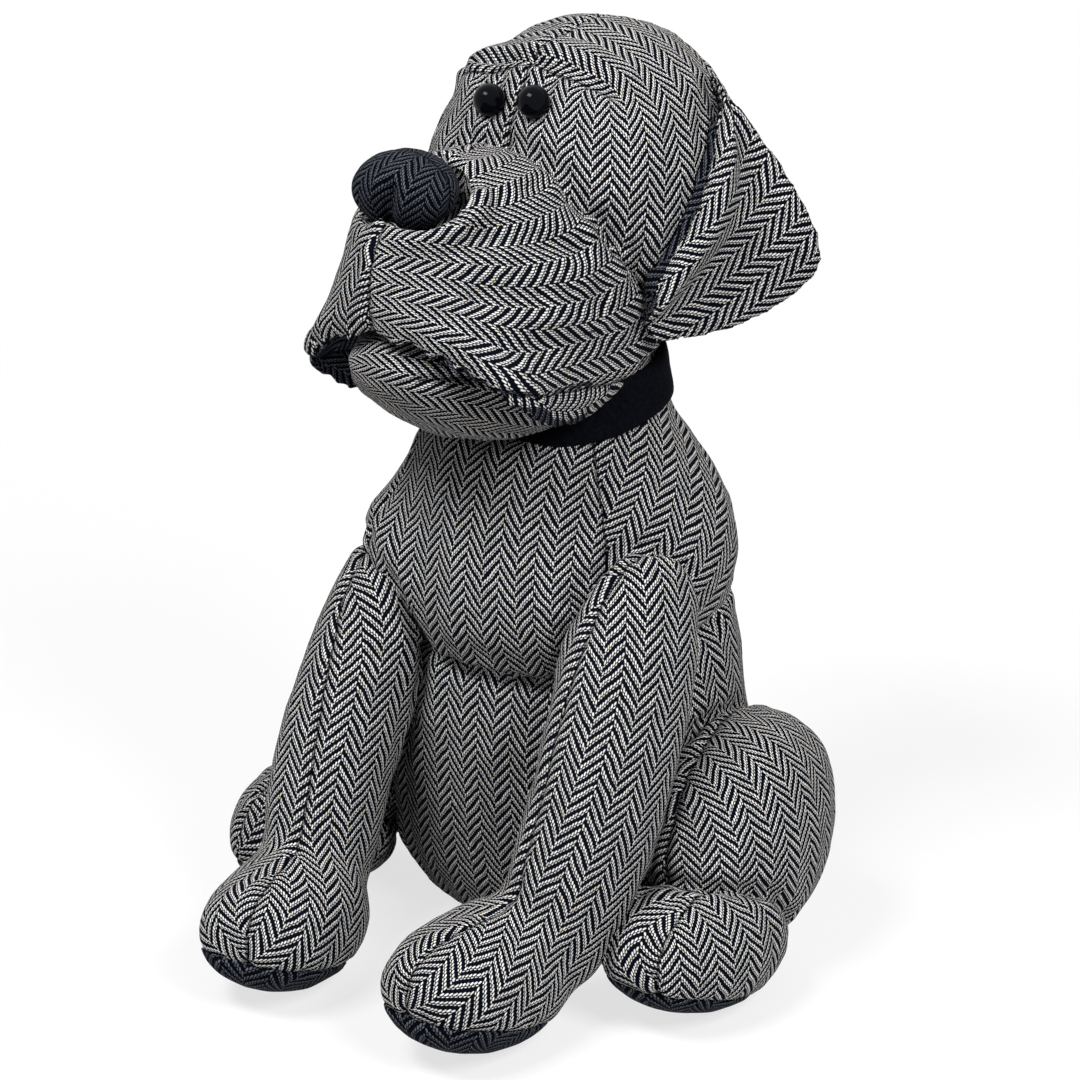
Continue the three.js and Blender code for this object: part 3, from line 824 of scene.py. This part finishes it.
# %% [markdown]
# ## The head's own frame
# The head looks a little to one side and is tilted, so its seams are easier to give in its own frame.

# %% Head frame
HEAD_MIDDLE = Vector((0, 42.467, 234))  # mm
HEAD_TURN, HEAD_TILT = math.radians(-6), math.radians(-3)
HEAD = Matrix.Translation(HEAD_MIDDLE) @ Matrix.Rotation(HEAD_TURN, 4, "Z")
HEAD = HEAD @ Matrix.Rotation(HEAD_TILT, 4, "Y")
FROM_HEAD = HEAD.inverted()


def head_point(x, y, z):
    return HEAD @ Vector((x, y, z))


def head_way(x, y, z):
    return HEAD.to_3x3() @ Vector((x, y, z))


def head_seam(point, normal, where=None):
    return head_point(*point), head_way(*normal), (lambda c: where(FROM_HEAD @ c)) if where else None


def head_crease(path, depth, width):
    return [head_point(*p) for p in path], depth, width


print("the head's front points along", [round(v, 2) for v in head_way(0, -1, 0)])

# %% [markdown]
# ## Grain
# Each panel was cut with its columns along one direction: up the chest and legs, along the muzzle, aslant
# on the flank. A grain function takes the middle of a panel, and gives the place where the pattern is set
# and the way its columns run.

# %% Grain of the body
FRONT = 27.5  # mm from the origin back to the body's middle line


def side_of(c):
    return 1 if c.x > 0 else -1


def body_grain(c):
    if abs(c.x) < 12 and c.y < FRONT:
        return (5, -20, 135), (0, 0, 1)
    return (side_of(c) * 50, 12, 140), (side_of(c) * 0.26, 0.97, 1.06)


def base_grain(c):
    return (c.x, c.y - 30, 60), (0, 0, 1)


def leg_grain(c):
    outer = abs(c.x) > 40
    return (side_of(c) * (60 if outer else 25), -30, 85), (side_of(c) * 0.06, 0.38, 0.92)


def upright_grain(c):
    return c, (0, 0, 1)


def foot_grain(c):
    if abs(c.x) > 76:
        return (side_of(c) * 83, -26, 32), (side_of(c) * -0.25, 0.1, 1)
    return (side_of(c) * 69, -28, 30), (0, 1, 1)


def sole_grain(c):
    return c, (0, 1, 0)


print("the chest's columns start at", body_grain(Vector((0, 0, 130)))[0])


# %% Grain of the head
def skull_grain(c):
    return head_point(side_of(FROM_HEAD @ c) * 38, -14, 14), head_way(0, 0.1, 1)


def muzzle_grain(c):
    if (FROM_HEAD @ c).x < 0:
        return head_point(-14, -93, -22), head_way(0.15, 0, 1)
    return head_point(36, -55, -18), head_way(0, -1, 0.08)


def jaw_grain(c):
    return head_point(16, -66, -62), head_way(0, -1, 0.1)


def along_head(c):
    return c, head_way(0, -1, 0.1)


def ear_grain(c):
    return c, head_way(side_of(FROM_HEAD @ c) * 0.24, 0.8, 0.55)


def nose_grain(c):
    return head_point(3, -92, 8), head_way(0.3, 0, 1)


print("the near side of the muzzle starts at", [round(v) for v in muzzle_grain(head_point(20, -50, 0))[0]])

# %% [markdown]
# ## Seams
# A seam is where a plane meets the skin. The legs, feet and thighs are two halves sewn together down their
# middle, and the chest is a front panel between two flanks. The skull has a seam down its middle and one
# across it, and a short dart over each eye.

# %% Seams of the body
CHEST_ANGLE, BASE_ANGLE = 50, 62  # degrees from the front to each side seam
CROSSING = 4  # mm that a seam runs on past the middle line, so that it crosses the others


def across_body(angle):
    """The normal of an upright plane through the body's middle line, at an angle from its front."""
    return math.cos(math.radians(angle)), math.sin(math.radians(angle)), 0


def in_front(side):
    return lambda c: c.y < FRONT + CROSSING and c.x * side > -CROSSING


def body_seams(angle):
    """A front panel between two planes, and a seam down the back."""
    return [
        ((0, FRONT, 0), across_body(angle), in_front(1)),
        ((0, FRONT, 0), across_body(-angle), in_front(-1)),
        ((0, FRONT, 0), (1, 0, 0), lambda c: c.y > FRONT - CROSSING),
    ]


BOTTOM_SEAM = [((0, 0, 3), (0, 0, 1), None)]
LEG_SEAM = {
    "left": [((42, -26.4, 100), (1, -0.25, 0), None)],
    "right": [((-47.8, 0, 100), (1, 0.2, 0), None)],
}
SOLE_RIM = [((0, 0, 1.2), (0, 0, 1), None)]
print("the chest's front panel is", 2 * CHEST_ANGLE, "degrees wide, seen from above")

# %% Seams of the head
SKULL_SEAMS = [
    head_seam((0, 0, 0), (1, 0, 0)),
    head_seam((0, 24, 0), (0, 1, 0)),
    head_seam((4, -24, 33), (0.22, 0.3, 1), lambda c: c.y < -10 and 0 < c.x < 27 and c.z > 18),
    head_seam((-4, -24, 33), (-0.22, 0.3, 1), lambda c: c.y < -10 and -27 < c.x < 0 and c.z > 18),
]
MUZZLE_SEAMS = [head_seam((0, 0, 0), (1, 0, 0)), head_seam((0, -20, -56), (0, 0.185, 1))]
CHIN_SEAM = [head_seam((0, 0, -42), (0, 0, 1), lambda c: abs(c.x) > 12)]
NOSE_SEAM = [head_seam((0, -76, 0), (0, 1, 0))]
LINING_SEAMS = [head_seam((0, 0, 0), (1, 0, 0)), head_seam((0, 0, -45), (0, 0, 1))]
print(len(SKULL_SEAMS + MUZZLE_SEAMS + CHIN_SEAM), "seams on the head")

# %% [markdown]
# ## Folds
# The brow is a soft roll above the eyes, and the cheeks are drawn back in long folds from the nose. The
# thread of each eye pulls the cloth in, with folds up to the brow and down beside the nose. A fold is a
# path of points with a depth and a width, all in mm.

# %% Folds of the face
BROW = [
    head_crease([(-28, -12, 31), (-14, -16, 37), (0, -17, 38), (14, -16, 37), (26, -14, 32)], -1.7, 5.0),
    head_crease(
        [(-29, -16, 27), (-22, -19, 31), (-14, -20.5, 33.5), (12, -21.5, 33.5), (20, -21, 31), (28, -19, 26)],
        1.5, 1.7,
    ),
    head_crease([(-28, -18, 27), (-24, -20, 30)], -2.6, 6.0),
]
NOSE_STITCH = head_crease([(4.5, -90.5, 11), (2, -89.5, 6), (-1, -87.5, 2), (-2, -85, -2)], 3.2, 2.5)
CHEEK_FOLDS = [
    head_crease([(20, -24, 14), (24, -40, 8), (22, -54, 5)], 1.0, 2.0),
    head_crease([(30, -22, 2), (33, -38, -3)], 1.0, 2.0),
    head_crease([(12, -34, 17), (14, -50, 14)], 0.9, 1.8),
    head_crease([(22, -76, -3), (30, -60, -7), (35, -45, -12)], 1.6, 2.8),
    head_crease([(27, -80, -19), (35, -63, -22), (38, -42, -27)], 1.3, 3.2),
    head_crease([(34, -78, -33), (38, -58, -35), (38, -36, -38)], 1.1, 3.2),
    head_crease([(8, -87, -4), (16, -83, -2), (20, -77, 0), (19, -70, 6)], -2.0, 3.4),
]
print(len(BROW), "folds on the brow and", len(CHEEK_FOLDS), "on the cheeks")


# %% Folds at the eyes
def eye_folds(side):
    """The hollow that an eye's thread pulls, and the folds that run from it."""
    low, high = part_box("eye_" + side)
    at = (low + high) / 2 / MM
    hollow, above, below = Vector((0, 4, 0)), Vector((0, 5, 13)), Vector((0, 0, -14))
    way = SIDES[side]
    return [
        ([at + hollow, at + hollow], 2.0, 5.5),
        ([at + hollow, at + above + Vector((way * 3, 0, 0))], 1.1, 1.5),
        ([at + hollow, at + below + Vector((way * 2, 0, 0))], 1.1, 1.6),
        ([at + hollow, at + Vector((way * 12, 6, 4))], 0.9, 1.5),
    ]


print(len(eye_folds("left")), "folds at each eye")

# %% Folds of the body
CHEST_TUCK = ([(4, -26, 158), (1, -24, 146)], 1.5, 2.2)
FAR_SHOULDER = ([(-38, -8, 121), (-43, 0, 123)], -4.5, 12.5)
LEG_FOLDS = {"left": [], "right": [([(-41, -11, 120.5), (-42, -14, 119)], 2.2, 6.0)]}
print("the far shoulder stands out by", -FAR_SHOULDER[1], "mm")

# %% [markdown]
# ## All sewn pieces
# Each row is one piece: the solid it follows, the solids it is tucked into and those it only meets, the
# voxel of its skin in mm and its rounds of softening, then its seams, its grain, its cloth and its folds.

# %% Body and legs
Sewn = namedtuple("Sewn", "name solid tucked meets voxel rounds seams grain cloth folds", defaults=[()])
BODY = ("upper_body", "weighted_base")
FRONT_LEGS = ("front_leg_left", "front_leg_right")
THIGHS = ("thigh_left", "thigh_right")

rows = [
    Sewn("chest_and_neck", "upper_body", (), ("weighted_base",) + FRONT_LEGS, 2.4, 14,
         body_seams(CHEST_ANGLE), body_grain, tweed, [CHEST_TUCK, FAR_SHOULDER]),
    Sewn("weighted_bottom", "weighted_base", ("upper_body",), FRONT_LEGS + THIGHS, 2.6, 12,
         body_seams(BASE_ANGLE) + BOTTOM_SEAM, base_grain, tweed),
]
for side in SIDES:
    rows.append(Sewn(
        f"{side}_front_leg", f"front_leg_{side}", BODY + (f"front_sole_{side}",), (f"thigh_{side}",), 2.2, 9,
        LEG_SEAM[side], leg_grain, tweed, LEG_FOLDS[side],
    ))
for side, way in SIDES.items():
    rows.append(Sewn(
        f"{side}_thigh", f"thigh_{side}", BODY + (f"front_leg_{side}",), (f"hind_foot_{side}",), 2.4, 12,
        [((way * 60, 25, 40), (1, way * 0.08, 0), None)], upright_grain, tweed,
    ))
for side, way in SIDES.items():
    tucked = (f"thigh_{side}", "weighted_base", f"front_leg_{side}", f"hind_sole_{side}")
    rows.append(Sewn(
        f"{side}_hind_foot", f"hind_foot_{side}", tucked, (), 2.2, 9,
        [((way * 76, 0, 0), (1, 0, 0), None)], foot_grain, tweed,
    ))
print(len(rows), "pieces of the body")

# %% Head, soles and ears
rows += [
    Sewn("skull_panels", "cranium", (), ("muzzle", "ear_left", "ear_right"), 2.2, 10,
         SKULL_SEAMS, skull_grain, tweed, BROW + eye_folds("left") + eye_folds("right")),
    Sewn("muzzle_panels", "muzzle", ("cranium",), ("nose",), 1.9, 5,
         MUZZLE_SEAMS, muzzle_grain, tweed, CHEEK_FOLDS),
    Sewn("lower_jaw", "chin", ("cranium", "muzzle"), (), 2.0, 8, CHIN_SEAM, jaw_grain, tweed),
]
for end in ("front", "hind"):
    for side in SIDES:
        rows.append(Sewn(
            f"{side}_{end}_sole", f"{end}_sole_{side}", (), (), 1.2, 12, SOLE_RIM, sole_grain, dark_tweed,
        ))
rows += [
    Sewn("nose_pad", "nose", ("cranium",), (), 1.2, 4, NOSE_SEAM, nose_grain, dark_tweed, [NOSE_STITCH]),
    Sewn("mouth_lining", "jowl_lining", (), (), 1.3, 2, LINING_SEAMS, along_head, dark_tweed),
]
for side in SIDES:
    rows.append(Sewn(f"{side}_ear", f"ear_{side}", (), (), 0.9, 4, [], ear_grain, tweed))
for side in SIDES:
    rows.append(Sewn(f"{side}_ear_lining", f"ear_lining_{side}", (), (), 0.8, 3, [], ear_grain, dark_tweed))
print(len(rows), "sewn pieces in all")

# %% [markdown]
# A stuffed piece has a coarse skin, which the filling swells. A flat or small one has a fine skin and is
# left as it is. The nose is the exception in shape: its stitch draws it in, most at its near lower side.

# %% Skins and filling
THICK_VOXEL = 1.5  # mm: a coarser skin than this is a stuffed piece
NOSE_DRAWN_IN = (0.93, 1, 0.94)  # along X, Y and Z

pieces = {}
for row in rows:
    pieces[row.name] = skin_of(row.name, row.solid, row.tucked, row.voxel, row.rounds)
    if row.voxel > THICK_VOXEL:
        pin_down(pieces[row.name], row.seams, row.tucked)

points = points_of(pieces["nose_pad"].data)
far_top = np.array([points[:, 0].min(), points[:, 1].mean(), points[:, 2].max()])
move_points(pieces["nose_pad"].data, far_top + (points - far_top) * NOSE_DRAWN_IN)
swell([pieces[row.name] for row in rows if row.voxel > THICK_VOXEL])
print(len(pieces), "skins")

# %% Cut, unwrap and sew
for number, row in enumerate(rows):
    piece = pieces[row.name]
    cut_panels(piece, row.seams)
    if "ear" in row.name:
        part_sides(piece)
    lay_weave(piece, row.grain)
    if row.voxel > THICK_VOXEL:
        joins = [name for name in row.tucked + row.meets if "sole" not in name]
        sew(piece, joins, creases=row.folds, seed=number)
        dress(piece, row.cloth, row.solid)
    else:
        levels = 1 if row.name == "nose_pad" else 0
        sew(piece, groove=0.4, lumps=0.1, puckers=0.1, creases=row.folds, seed=number, levels=levels)
        dress(piece, row.cloth, row.solid)
print(sum(len(piece.data.polygons) for piece in pieces.values()), "faces sewn")

# %% [markdown]
# ## Turned lip, and painted shadow under it
# The lip is turned in, so its inner side shows the dark lining. The lip's faces that look down or inwards get
# the dark cloth, partly for that lining and partly as painted shade under the lip, and so do the chin's faces
# where the lip hangs over it, as painted shadow. More pieces could be cut for the lining. A second material
# on these faces does it without a new seam.

# %% Turned lip and painted shadow
LIP_TOP, LIP_BACK = -34, -45  # mm in the head's frame: the lip is below the first and in front of the second
FACING_DOWN, FACING_IN = -0.45, 0.25
LIP_SHADE = 3.0  # mm from the muzzle within which the chin's faces under it get the dark cloth as painted shadow

to_head = FROM_HEAD.to_3x3()
lip, jaw = pieces["muzzle_panels"].data, pieces["lower_jaw"].data
lip.materials.append(dark_tweed)
jaw.materials.append(dark_tweed)
# the lip's faces that look down or inwards get the dark cloth: partly its lining, partly painted shade under
# the lip
for face in lip.polygons:
    place, way = FROM_HEAD @ (face.center / MM), to_head @ face.normal
    inward = -way.x if place.x > 0 else way.x
    turned = way.z < FACING_DOWN or inward > FACING_IN
    if place.z < LIP_TOP and place.y < LIP_BACK and turned:
        face.material_index = 1
# painted shadow: the chin's faces close under the muzzle get the dark cloth, as the shade that the hanging
# lip casts
gaps = distance_to_solids([face.center for face in jaw.polygons], ("muzzle",))
for face, gap in zip(jaw.polygons, gaps):
    if gap < LIP_SHADE:
        face.material_index = 1
dark = sum(face.material_index for mesh in (lip, jaw) for face in mesh.polygons)
print("dark under the lip:", dark, "faces")

# %% [markdown]
# ## Collar
# A flat band of dark cloth goes round the neck and is hardly seen under the head. It could be a plain ring,
# but then it would stand off the neck on some sides. So rays are sent in to the neck's cloth from all
# round, and the band follows what they meet, smoothed as a stiff band would be, with a slight wave and
# softly turned edges.

# %% Rays to the neck
BAND_HEIGHT = 14  # mm
AROUND, ROWS = 96, 9  # points round the band, and rows of them up its height
SLACK = 1.6  # mm between the band and the neck
THINNEST, THICKEST = 30.2, 38  # mm, limits of the neck's radius where rays miss it or meet a bulge
RAY_START = 60  # mm from the neck's middle
SLANT = Matrix.Translation(Vector((0, 28.5, 174.6))) @ Matrix.Rotation(0.12, 4, "X")

chest = pieces["chest_and_neck"].data
neck = BVHTree.FromPolygons([v.co for v in chest.vertices], [p.vertices for p in chest.polygons])


def neck_radius(middle, ways):
    """The neck's radius in each direction from a point inside it, in mm, smoothed over nine directions."""
    hits = [neck.ray_cast((middle + RAY_START * way) * MM, -way)[3] for way in ways]
    reach = [RAY_START - (RAY_START if hit is None else hit / MM) for hit in hits]
    reach = np.array([min(THICKEST, max(THINNEST, r)) for r in reach])
    return sum(np.roll(reach, k) for k in range(-4, 5)) / 9


print("rays start", RAY_START, "mm from the neck's middle")

# %% Neck band
band = bmesh.new()
rings, radii = [], []
for i in range(ROWS):
    share = i / (ROWS - 1) - 0.5
    middle = SLANT @ Vector((0, 0, share * BAND_HEIGHT))
    turns = [math.tau * j / AROUND for j in range(AROUND)]
    ways = [SLANT.to_3x3() @ Vector((math.cos(turn), math.sin(turn), 0)) for turn in turns]
    wave = 0.3 * np.sin(5 * np.array(turns) + 2 * share)
    reach = neck_radius(middle, ways) + SLACK + wave - 0.6 * (2 * share) ** 4
    rings.append([band.verts.new((middle + way * r) * MM) for way, r in zip(ways, reach)])
    radii += list(reach)
for lower, upper in zip(rings, rings[1:]):
    for j in range(AROUND):
        k = (j + 1) % AROUND
        band.faces.new((lower[j], lower[k], upper[k], upper[j]))
collar = bpy.data.objects.new("neck_band", bpy.data.meshes.new("neck_band"))
band.to_mesh(collar.data)
band.free()
bpy.context.scene.collection.objects.link(collar)
thick = collar.modifiers.new("thick", "SOLIDIFY")
thick.thickness, thick.offset = 1.6 * MM, 0
apply_modifiers(collar)
collar.data.shade_smooth()
dress(collar, collar_cloth, "collar")

# %% [markdown]
# ## Eyes
# Each eye is a round bead on a shank, pressed into the cloth. The CAD bead has flat facets, so a smooth
# sphere of the same size takes its place.

# %% Eyes
for side in SIDES:
    low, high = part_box("eye_" + side)
    radius = (high.x - low.x) / 2
    middle = Vector(((low.x + high.x) / 2, low.y + radius, (low.z + high.z) / 2))
    bpy.ops.mesh.primitive_uv_sphere_add(segments=48, ring_count=24, radius=radius, location=middle)
    bead = bpy.context.object
    bead.name = side + "_eye_bead"
    bead.data.transform(bead.matrix_world)
    bead.matrix_world = Matrix.Identity(4)
    bead.data.shade_smooth()
    dress(bead, black_bead, "eye_" + side)

# %% Colour view
bpy.context.scene.view_settings.view_transform = "Standard"
